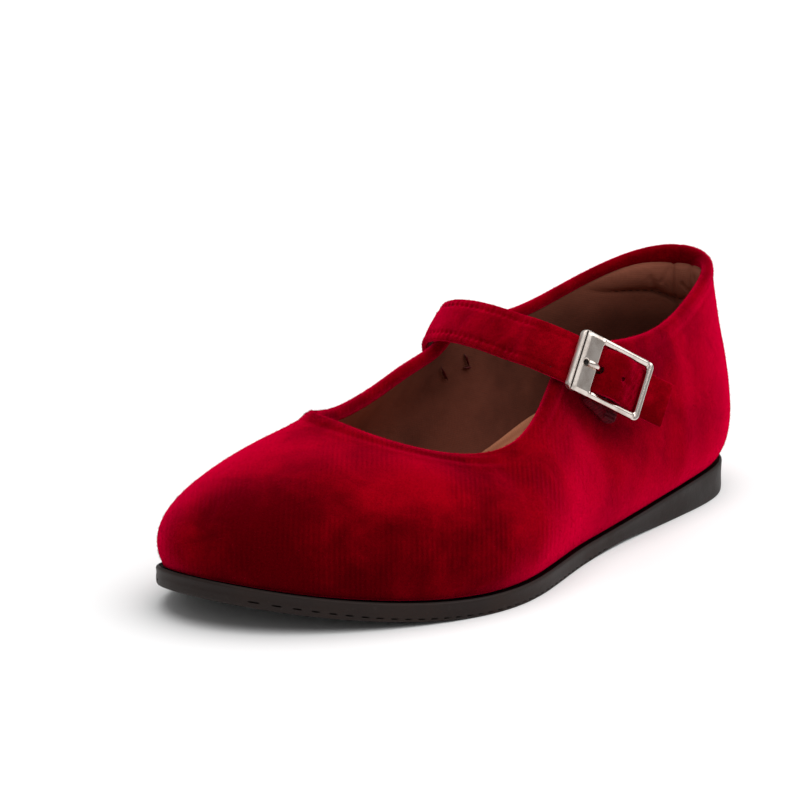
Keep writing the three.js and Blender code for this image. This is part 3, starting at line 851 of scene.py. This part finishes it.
def seam_stitches(path, out, pitch, length, radius):
    """Stitches along a line of points, each with the cloth's outward direction."""
    run = run_along(path)
    made = []
    for at in np.arange(pitch / 2, run[-1] - pitch / 2, pitch):
        ends = []
        for distance in (at - length / 2, at + length / 2):
            ends.append(np.array([np.interp(distance, run, path[:, k]) for k in range(3)]))
        towards = unit(np.array([np.interp(at, run, out[:, k]) for k in range(3)]))
        made.append(stitch(ends[0], ends[1], towards, radius))
    return made


def on_lining(distance_round, below, proud):
    """A point on the lining, and its direction into the shoe."""
    turn = np.asarray(distance_round, float) / BACK_MM_PER_TURN
    column = np.rint((turn % 1) * UPPER_AROUND).astype(int) % UPPER_AROUND
    columns = side_below[::-1, column].T
    share = np.array([np.interp(b, c, side_share[::-1]) for b, c in zip(below, columns)])
    inward = -outer_normal(turn, share)
    return outer_point(turn, share) + inward * (WALL + proud), inward


collar_round = np.linspace(-0.75 * PAD_ENDS, 0.75 * PAD_ENDS, 120)
seam_path, seam_out = on_lining(collar_round, pad_seam(collar_round), -0.35)
lining_stitches = seam_stitches(seam_path, seam_out, PAD_PITCH, PAD_STITCH, PAD_THREAD)
brown_thread = thread("brown_thread", colour(74, 39, 29))
stitched("lining_stitches", lining_stitches, brown_thread, "lining")


# ==== Instep strap ====
# A folded velvet strap, flat-stitched along both edges over a brown backing. It is sewn to the
# inner side, passes under the buckle's plate, over its middle bar and under its rear bar, and
# ends in a square cut tail. Its spare hole shows in the buckle's window.

BUCKLE_CENTRE = np.array([89.4, 31.95, 45.2])
BUCKLE_ALONG = unit(np.array([-0.776, 0.425, -0.467]))
STRAP_ACROSS = np.array([0.52, 0.012, -0.854])
BUCKLE_OUT = unit(np.cross(STRAP_ACROSS, BUCKLE_ALONG))
BUCKLE_SIDE = np.cross(BUCKLE_OUT, BUCKLE_ALONG)

STRAP_ARCH = (
    # x, y, z and how far its width leans from upright, in degrees
    (66.5, -31.2, 33.5, 54),
    (72.6, -31.4, 40.0, 52),
    (78.4, -30.6, 46.2, 50),
    (83.0, -27.4, 50.8, 46),
    (87.2, -20.8, 53.2, 42),
    (91.0, -12.0, 54.3, 40),
    (94.4, -2.5, 54.3, 39),
    (97.2, 7.5, 53.5, 38),
    (99.5, 16.9, 52.7, 36),
)
STRAP_WEAVE = (
    # along the buckle and out of the shoe
    (-10.5, -2.6),
    (-5.1, -2.5),
    (-2.0, -0.3),
    (0.5, 1.3),
    (3.8, 0.6),
    (7.2, -1.7),
    (10.2, -2.35),
    (15.0, -2.3),
    (20.0, -2.0),
)
STRAP_WIDTH, TAIL_WIDTH, STRAP_THICK, BACKING = 12.6, 11.8, 2.2, 0.5
VELVET_LOW = BACKING - STRAP_THICK / 2
STITCH_IN, STRAP_PITCH, STRAP_STITCH, SEWN_ROWS = 2.1, 2.3, 1.5, (2.6, 13.0)
SPARE_HOLE, HOLE_RADIUS, PASSAGE_RADIUS = 2.8, 0.75, 1.25
STRAP_STEPS = 560


def on_buckle(x, y, z):
    """Points from the buckle's own x to the tail, y across it and z out of the shoe."""
    x, y, z = (np.asarray(v, float)[..., None] for v in np.broadcast_arrays(x, y, z))
    return BUCKLE_CENTRE + x * BUCKLE_ALONG + y * BUCKLE_SIDE + z * BUCKLE_OUT


def smooth_path(points, steps):
    """A centripetal spline through the points, with the same share of steps in each stretch."""
    points = np.array(points, float)
    points = np.concatenate([[2 * points[0] - points[1]], points, [2 * points[-1] - points[-2]]])
    along = np.linspace(0, len(points) - 3, steps + 1)
    found = []
    for place in along:
        i = min(int(place), len(points) - 4)
        p0, p1, p2, p3 = points[i : i + 4]
        steps_here = (p1 - p0, p2 - p1, p3 - p2)
        k0, k1, k2 = (max(1e-6, np.linalg.norm(step)) ** 0.5 for step in steps_here)
        leave = ((p1 - p0) / k0 - (p2 - p0) / (k0 + k1) + (p2 - p1) / k1) * k1
        arrive = ((p2 - p1) / k1 - (p3 - p1) / (k1 + k2) + (p3 - p2) / k2) * k1
        t = place - i
        found.append(
            p1 * (2 * t**3 - 3 * t**2 + 1)
            + leave * (t**3 - 2 * t**2 + t)
            + p2 * (3 * t**2 - 2 * t**3)
            + arrive * (t**3 - t**2)
        )
    return np.array(found)


def strap_frames():
    """The strap's middle line with, at each step, its direction across and out of the shoe."""
    arch = np.array(STRAP_ARCH, float)
    lean = np.radians(arch[:, 3])
    across = np.stack([np.sin(lean), 0 * lean, -np.cos(lean)], axis=-1)
    weave = np.array([on_buckle(x, 0, z) for x, z in STRAP_WEAVE])
    centre = smooth_path(np.concatenate([arch[:, :3], weave]), STRAP_STEPS)
    wide = smooth_path(np.concatenate([across, np.tile(STRAP_ACROSS, (len(weave), 1))]), STRAP_STEPS)
    tangent = unit(np.gradient(centre, axis=0))
    wide = unit(wide - tangent * np.sum(wide * tangent, axis=-1, keepdims=True))
    return centre, wide, unit(np.cross(wide, tangent))


strap_centre, strap_wide, strap_out = strap_frames()
strap_along = np.linspace(0, 1, STRAP_STEPS + 1)
half_width = (STRAP_WIDTH + (TAIL_WIDTH - STRAP_WIDTH) * ease(0.5, 0.6, strap_along)) / 2
strap_run = run_along(strap_centre)
window_x, window_z = STRAP_WEAVE[5]
from_window = np.linalg.norm(strap_centre - on_buckle(window_x, 0, window_z), axis=-1)
window_run = strap_run[np.argmin(from_window)]


def strap_body(width_in, low, high, points_round, relief=None):
    """A tube of rounded oblong section along the strap, between two heights."""
    angle = once_round(points_round)
    share = np.cos(angle)
    full = (1 - np.abs(share) ** 7) ** (1 / 7)
    rings = []
    for k in range(STRAP_STEPS + 1):
        half = half_width[k] - width_in
        middle, rise = (low + high) / 2, (high - low) / 2
        height = middle + np.sign(np.sin(angle)) * full * rise
        if relief is not None:
            height = height + np.where(np.sin(angle) > 0, relief(share * half, k), 0)
        across = strap_wide[k] * (share * half)[:, None]
        rings.append(strap_centre[k] + across + strap_out[k] * height[:, None])
    return np.concatenate(rings), capped_faces(STRAP_STEPS + 1, points_round)


def quilted(across, k):
    """Dips under each row of stitches, puckers out to the edge, and a soft crown between."""
    fade = 1 - ease(0.5, 0.54, strap_along[k])
    from_row = np.abs(across) - (half_width[k] - STITCH_IN)
    pucker = 0.5 + 0.5 * np.cos(2 * math.pi * strap_run[k] / STRAP_PITCH)
    dip = (0.26 + 0.2 * pucker) * bell(from_row, 0.42)
    within = 1 - ease(-0.3, 0.3, from_row)
    for distance in SEWN_ROWS:
        dip = dip + 0.25 * bell(strap_run[k] - distance, 0.6) * within
    crease = 0.07 * pucker * ease(-0.2, 0.6, from_row)
    crown = (0.08 + 0.18 * fade) * (1 - (across / half_width[k]) ** 2)
    past_window = strap_run[k] - window_run
    in_window = 0.8 * bell(past_window, 2.8) + 0.5 * bell(past_window + 10, 1.6)
    rough = 0.06 * np.sin(across * 2.1 + strap_run[k]) * np.sin(strap_run[k] * 1.3) * (1 - fade)
    from_hole = np.hypot(across, past_window + window_x - SPARE_HOLE)
    pressed = 0.35 * bell(from_hole, 1.1)
    return crown - (dip + crease) * fade + in_window + rough - pressed


def combined(target, operation, others):
    """The piece with every other body made one with it, or taken out of it."""
    for other in others:
        change = target.modifiers.new("combined", "BOOLEAN")
        change.operation = operation
        change.solver = "EXACT"
        change.object = other
        with bpy.context.temp_override(object=target, active_object=target):
            bpy.ops.object.modifier_apply(modifier=change.name)
    for other in others:
        bpy.data.objects.remove(other)


def round_tube(path, side, radius_side, radius_up, sides):
    """A closed tube along points in the buckle's middle plane. A radius may change on the way."""
    tangent = unit(np.gradient(path, axis=0))
    up = unit(np.cross(tangent, side))
    radii = [np.broadcast_to(radius, len(path)) for radius in (radius_side, radius_up)]
    rings = []
    for p, u, a, b in zip(path, up, *radii):
        for angle in once_round(sides):
            rings.append(p + side * math.cos(angle) * a + u * math.sin(angle) * b)
    return np.array(rings), capped_faces(len(path), sides)


strap_crimson = velvet("strap_velvet", 1.0, colour(102, 0, 6), colour(164, 0, 21), 20)
points, faces = strap_body(0, VELVET_LOW, STRAP_THICK / 2, 72, quilted)
strap = piece("instep_strap", points, faces, strap_crimson, "velvet", ["strap"])
strap_grid = points.reshape(STRAP_STEPS + 1, -1, 3)
fuzz("strap_fuzz", strap_grid, 9000, 0.4, seed=3)

BAR_X, BAR_Z, BAR_RADIUS = 0.6, -2.2, 0.6
LUG_THICK, LUG_LONG = 1.24, 2.8
PRONG_LINE = ((-0.5, -1.7), (-1.9, -1.1), (-3.6, 0.15), (-4.8, 1.2), (-6.3, 1.62), (-8.1, 1.4))
prong_path = smooth_path([on_buckle(x, 0, z) for x, z in PRONG_LINE], 40)


def punch(x):
    """A round hole straight through the strap at the buckle's x."""
    path = on_buckle(x, 0, (-3.0, 4.0))
    return plain_body("punch", *round_tube(path, BUCKLE_SIDE, HOLE_RADIUS, HOLE_RADIUS, 24))


passage = round_tube(prong_path, BUCKLE_SIDE, PASSAGE_RADIUS, PASSAGE_RADIUS, 20)
combined(strap, "DIFFERENCE", [punch(SPARE_HOLE), plain_body("passage", *passage)])

points, faces = strap_body(0.9, -STRAP_THICK / 2, VELVET_LOW - 0.02, 32)
piece("strap_backing", points, faces, brown, "lining")

rows = []
for side in (-1, 1):
    sewn = strap_along < 0.515
    inset = (half_width[sewn] - STITCH_IN) * side
    path = strap_centre[sewn] + strap_wide[sewn] * inset[:, None]
    path = path + strap_out[sewn] * (STRAP_THICK / 2 - 0.4)
    rows += seam_stitches(path, strap_out[sewn], STRAP_PITCH, STRAP_STITCH, 0.17)
for distance in SEWN_ROWS:
    k = int(np.argmin(np.abs(strap_run - distance)))
    reach = (half_width[k] - STITCH_IN) * np.linspace(-1, 1, 12)[:, None]
    path = strap_centre[k] + strap_wide[k] * reach + strap_out[k] * (STRAP_THICK / 2 + 0.16)
    rows += seam_stitches(path, np.tile(strap_out[k], (12, 1)), STRAP_PITCH, STRAP_STITCH, 0.2)
crimson_thread = thread("crimson_thread", colour(78, 0, 6))
stitched("strap_stitches", rows, crimson_thread, "velvet")


# ==== Buckle ====
# A die-cast frame plated in nickel: a wide front plate with a bead and a dimple for the prong's
# tip, two round-shouldered sides and a slim rear bar with a sloped inner edge. A lower bar on
# lugs carries the prong and the tab.

FRAME_LONG, FRAME_WIDE, FRAME_THICK = 23.4, 16.0, 1.6
PLATE, SIDE_BAR, REAR_BAR = 6.9, 1.7, 1.6
EDGE, OUTER_CORNER, INNER_CORNER = 0.42, 1.6, 0.7
GROOVE_AT, DIMPLE_AT = 1.3 - FRAME_LONG / 2, -8.4


def nickel():
    """Bright plate, a little hazed, with painted shade that darkens the groove and the dimple."""
    f = Finish("nickel_plate")
    x, y, z = f.axes()
    centre = placed(BUCKLE_CENTRE)[0]
    along, side, out = (
        (x - centre[0]) * float(v[0]) + (y - centre[1]) * float(v[1]) + (z - centre[2]) * float(v[2])
        for v in (BUCKLE_ALONG, BUCKLE_SIDE, BUCKLE_OUT)
    )
    from_groove = (along - GROOVE_AT / 1000).maths("ABSOLUTE")
    half = FRAME_WIDE / 2000
    on_plate = f.ramp(side.maths("ABSOLUTE"), half - 0.05 / 1000, half - 0.35 / 1000)
    on_plate = on_plate * f.ramp(out, -0.3 / 1000, -0.1 / 1000)
    in_groove = (1 - f.ramp(from_groove, 0.14 / 1000, 0.3 / 1000)) * on_plate
    reach = (along - DIMPLE_AT / 1000) * (along - DIMPLE_AT / 1000) + side * side
    in_dimple = 1 - f.ramp(reach, (0.65 / 1000) ** 2, (0.95 / 1000) ** 2)
    in_dimple = in_dimple * (1 - f.ramp(out, 0.85 / 1000, 0.93 / 1000))
    groove_and_dimple_shade = (in_groove + in_dimple).maths("MINIMUM", 1.0)
    haze = f.ramp(f.noise(3.5, 4, 0.6), 0.35, 0.75)
    fine = f.noise(0.25, 3, 0.7)
    rough = 0.08 + 0.1 * haze + 0.04 * fine
    base = f.blend(haze, colour(216, 206, 198), colour(184, 172, 164))
    # painted shade: the groove and the dimple are darkened nearly to black
    base = f.blend(groove_and_dimple_shade * 0.96, base, colour(20, 16, 15))
    satin = f.ramp(along, (GROOVE_AT + 1.6) / 1000, (GROOVE_AT + 1.0) / 1000)
    rough = rough + groove_and_dimple_shade * 0.4 + satin * 0.26
    relief = f.bump(fine, 0.006, over=f.bump(f.noise(4, 2), 0.012))
    return f.surface(Base_Color=base, Metallic=1.0, Roughness=rough, Normal=relief)


def rounded_outline(x0, x1, half, radius, side_points, corner_points):
    """A rounded oblong, counted so that two of them match point for point."""
    corners = (
        (x1 - radius, half - radius, 0),
        (x0 + radius, half - radius, 90),
        (x0 + radius, radius - half, 180),
        (x1 - radius, radius - half, 270),
    )
    arcs = []
    for cx, cy, first in corners:
        angle = np.radians(first + np.linspace(0, 90, corner_points))
        arcs.append(np.stack([cx + radius * np.cos(angle), cy + radius * np.sin(angle)], axis=-1))
    found = []
    for k, arc in enumerate(arcs):
        found.append(arc)
        share = np.linspace(0, 1, side_points + 2)[1:-1, None]
        found.append(arc[-1] * (1 - share) + arcs[(k + 1) % 4][0] * share)
    return np.concatenate(found)


def frame_top(xy):
    """The frame's upper face: bead, groove and bevel in front, a plate, and sloped bars."""
    x = xy[..., 0] + FRAME_LONG / 2
    y = np.abs(xy[..., 1])
    half = FRAME_WIDE / 2
    inboard = 1 - ease(half - 0.8, half - 0.2, y)
    bead = 0.25 * bell(x - 0.7, 0.42) * inboard
    slit = -0.7 * bell(xy[..., 0] - GROOVE_AT, 0.18) * inboard
    level = ease(1.3, 2.7, x) * (1 - ease(PLATE, PLATE + 0.4, x))
    plate = 0.3 * level * ease(0.0, 1.25, half - y)
    dimple = -0.75 * bell(np.hypot(xy[..., 0] - DIMPLE_AT, xy[..., 1]), 0.6)
    from_middle = (half - y - SIDE_BAR / 2) / (SIDE_BAR / 2)
    rail = 0.36 * np.clip(1 - np.sqrt(from_middle**2 + 0.03), 0, 1)
    rail = rail * ease(PLATE - 0.8, PLATE + 0.6, x) * ease(1.0, 2.6, FRAME_LONG - x)
    rear = -0.4 * ease(0.75, 1.6, FRAME_LONG - x) * ease(FRAME_LONG - 2.4, FRAME_LONG - 1.8, x)
    return FRAME_THICK / 2 - 0.12 + bead + slit + plate + dimple + rail + rear


def frame_rings():
    """Rings across the frame: over the top from its outer to its inner edge, and back under."""
    x0, x1, half = -FRAME_LONG / 2, FRAME_LONG / 2, FRAME_WIDE / 2
    outer = rounded_outline(x0, x1, half, OUTER_CORNER, 96, 14)
    inner = rounded_outline(x0 + PLATE, x1 - REAR_BAR, half - SIDE_BAR, INNER_CORNER, 96, 14)
    span = np.linalg.norm(inner - outer, axis=-1)[:, None]
    turns = np.linspace(0, math.pi / 2, 6)

    def round_edge(angles, at_inner):
        """How far across, and how far off the face, each ring of a rounded edge lies."""
        places = []
        for angle in angles:
            share = EDGE * (1 - math.cos(angle)) / span
            places.append((1 - share if at_inner else share, EDGE * (1 - math.sin(angle))))
        return places

    flat = [(EDGE / span + step * (1 - 2 * EDGE / span), 0) for step in np.linspace(0, 1, 66)[1:-1]]
    found = []
    for share, off in round_edge(turns, False) + flat + round_edge(turns[::-1], True):
        xy = outer * (1 - share) + inner * share
        found.append(on_buckle(xy[:, 0], xy[:, 1], frame_top(xy) - off))
    for share, off in round_edge(turns, True) + round_edge(turns[::-1], False):
        xy = outer * (1 - share) + inner * share
        found.append(on_buckle(xy[:, 0], xy[:, 1], off - FRAME_THICK / 2))
    return np.array(found)


def joined(target, others):
    combined(target, "UNION", others)
    target.data.shade_smooth()


plated = nickel()
rings = frame_rings()
ring_faces = grid_faces(len(rings), rings.shape[1], close_rows=True)
buckle = piece("buckle", rings, ring_faces, plated, "nickel", ["buckle_frame"])
bar_half = FRAME_WIDE / 2 - SIDE_BAR / 2
bar_path = on_buckle(BAR_X, np.linspace(-bar_half, bar_half, 9), BAR_Z)
bar = round_tube(bar_path, BUCKLE_ALONG, BAR_RADIUS, BAR_RADIUS, 20)
parts = [plain_body("bar", *bar)]
for sign in (-1, 1):
    lug_y = sign * (FRAME_WIDE / 2 - SIDE_BAR / 2 - 0.05)
    lug_path = on_buckle(BAR_X, lug_y, np.linspace(BAR_Z - BAR_RADIUS, 0, 6))
    lug = round_tube(lug_path, BUCKLE_SIDE, LUG_THICK / 2, LUG_LONG / 2, 24)
    parts.append(plain_body("lug", *lug))
joined(buckle, parts)

pin_share = np.linspace(0, 1, 41)
pin_end = np.interp(pin_share, [0, 0.93, 0.98, 1], [1, 1, 0.9, 0.6])
pin_half_width = np.interp(pin_share, [0, 0.3, 0.6, 1], [0.5, 0.55, 0.78, 0.78]) * pin_end
pin = round_tube(prong_path, BUCKLE_SIDE, pin_half_width, 0.5 * pin_end, 24)
prong = piece("buckle_pin", *pin, plated, "nickel", ["buckle_prong"])


def band_round_bar(inner, outer, y0, y1, steps):
    """A closed collar round the middle bar."""
    corner = min(outer - inner, y1 - y0) * 0.3
    section = rounded_outline(inner, outer, (y1 - y0) / 2, corner, 0, 5) + [0, (y0 + y1) / 2]
    rings = []
    for angle in once_round(steps):
        x = BAR_X + section[:, 0] * math.cos(angle)
        z = BAR_Z + section[:, 0] * math.sin(angle)
        rings.append(on_buckle(x, section[:, 1], z))
    return np.array(rings), grid_faces(steps, len(section), close_rows=True)


joined(prong, [plain_body("eye", *band_round_bar(0.9, 1.3, -0.6, 0.6, 32))])


# ==== Elastic tab and tacks ====
# Maroon elastic tape folded round the middle bar and sewn to the outer side as a patch, with a
# bar tack of shiny thread at its lower end. Two red tacks inside hold the strap's sewn end.

TAB_OUTLINE = (
    (-3.2, -5.0), (-3.2, -8.0), (5.6, -10.7), (8.0, -9.6),
    (8.4, 4.6), (1.6, 5.6), (-1.0, 5.6),
)
TAB_TOP, TAB_BASE, TAB_LOOP, CORD_PITCH = -3.75, -4.8, 0.8, 0.6


def elastic_tape():
    f = Finish("elastic_tape")
    x, y, z = f.axes()
    cords = 0.5 + 0.5 * f.waves(x * 0.35 + z * 0.9 + y * 0.1, CORD_PITCH)
    worn = f.ramp(f.noise(1.6, 4, 0.6), 0.35, 0.7)
    base = f.blend(cords * 0.4 + worn * 0.6, colour(62, 0, 8), colour(104, 2, 22))
    relief = f.bump(cords, 0.06, over=f.bump(worn, 0.2))
    return f.surface(Base_Color=base, Roughness=0.55, Normal=relief, Specular_IOR_Level=0.06)


def softened(outline, radius, arc_points):
    """The outline with each corner rounded by a short curve."""
    outline = np.array(outline, float)
    found = []
    for before, corner, after in zip(np.roll(outline, 1, 0), outline, np.roll(outline, -1, 0)):
        start = corner + unit(before - corner) * radius
        end = corner + unit(after - corner) * radius
        for t in np.linspace(0, 1, arc_points):
            found.append(start * (1 - t) ** 2 + corner * 2 * t * (1 - t) + end * t**2)
    return np.array(found)


def patch_body():
    outline = softened(TAB_OUTLINE, 1.1, 8)
    middle = outline.mean(axis=0)
    rings = []
    for inset, height in ((0.25, 0), (0.07, 0.07), (0, 0.25), (0, 0.8), (0.07, 0.98), (0.25, 1.05)):
        ring = outline + unit(middle - outline) * inset
        rings.append(on_buckle(ring[:, 0], ring[:, 1], TAB_BASE + height))
    return np.concatenate(rings), capped_faces(len(rings), len(outline))


tab = piece("elastic_tab", *patch_body(), elastic_tape(), "elastic", ["buckle_tab"])
loop_inner = BAR_RADIUS + GAP
for sign in (-1, 1):
    y0, y1 = sorted((sign * 1.5, sign * 6.0))
    joined(tab, [plain_body("loop", *band_round_bar(loop_inner, loop_inner + TAB_LOOP, y0, y1, 40))])

tack = []
for x in np.arange(4.4, 7.6, 0.42):
    for y0, y1 in ((-7.4, -8.7), (-8.6, -9.6)):
        ends = on_buckle((x, x + 0.2), (y0, y1), TAB_TOP + 0.02)
        tack.append(stitch(ends[0], ends[1], BUCKLE_OUT, 0.2, 0.9))
shiny_thread = thread("maroon_thread", colour(96, 8, 26))
stitched("tab_tack", tack, shiny_thread, "elastic")

# each tack's threads, as mm round from the back seam and mm below the topline, end to end
TACK_THREADS = (
    ((-68.6, 7.3), (-61.3, 14.9)),
    ((-66.2, 9.9), (-62.6, 13.8)),
    ((-56.7, 8.6), (-54.2, 12.9)),
    ((-56.3, 8.9), (-54.9, 11.6)),
    ((-56.2, 12.8), (-53.4, 13.1)),
)
inside_tacks = []
for ends in TACK_THREADS:
    rounds, belows = np.array(ends).T
    spots, inward = on_lining(rounds, belows, 0.4)
    inside_tacks.append(stitch(spots[0], spots[1], inward[0], 0.32, 0.4))
stitched("inside_tacks", inside_tacks, crimson_thread, "velvet")


# ==== Floor, light and camera ====
# A plain pale floor under one large soft overhead light in an even pale surround, and the
# camera on the shoe's outer front quarter.

FLOOR_REACH, SURROUND = 12, 0.42
# tilt from overhead towards the heel and the outer side, in degrees, and how wide it shines
LIGHT_TILT, LIGHT_TURN, LIGHT_SPREAD, LIGHT_STRENGTH = 20, 206, 88, 3.1

floor_mesh = bpy.data.meshes.new("floor")
quarters = ((-1, -1), (1, -1), (1, 1), (-1, 1))
floor_corners = [(FLOOR_REACH * x, FLOOR_REACH * y, 0) for x, y in quarters]
floor_mesh.from_pydata(floor_corners, [], [(0, 1, 2, 3)])
floor = linked("floor", floor_mesh)
pale = Finish("pale_floor")
tone = pale.blend(pale.noise(300, 2), (0.86, 0.86, 0.86, 1), (0.88, 0.88, 0.88, 1))
floor_mesh.materials.append(pale.surface(Base_Color=tone, Roughness=0.7))

world = bpy.data.worlds.new("studio")
world.use_nodes = True
background = world.node_tree.nodes["Background"].inputs
background["Color"].default_value = (1, 1, 1, 1)
background["Strength"].default_value = SURROUND
bpy.context.scene.world = world

overhead = bpy.data.lights.new("overhead", "SUN")
overhead.energy = LIGHT_STRENGTH
overhead.angle = math.radians(LIGHT_SPREAD)
overhead_lamp = linked("overhead", overhead)
overhead_lamp.rotation_euler = (math.radians(LIGHT_TILT), 0, math.radians(LIGHT_TURN))

AIM = placed([134.7, 0, 42.4])[0]
AZIMUTH, ELEVATION, DISTANCE, LENS = math.radians(127.4), math.radians(12.1), 0.52, 95.7
level = math.cos(ELEVATION)
back = Vector((math.sin(AZIMUTH) * level, -math.cos(AZIMUTH) * level, math.sin(ELEVATION)))
camera_data = bpy.data.cameras.new("camera")
camera_data.sensor_width = 36
camera_data.lens = LENS
camera = linked("camera", camera_data)
camera.location = Vector(AIM) + back * DISTANCE
camera.rotation_euler = back.to_track_quat("Z", "Y").to_euler()
bpy.context.scene.camera = camera
bpy.context.scene.view_settings.view_transform = "Standard"
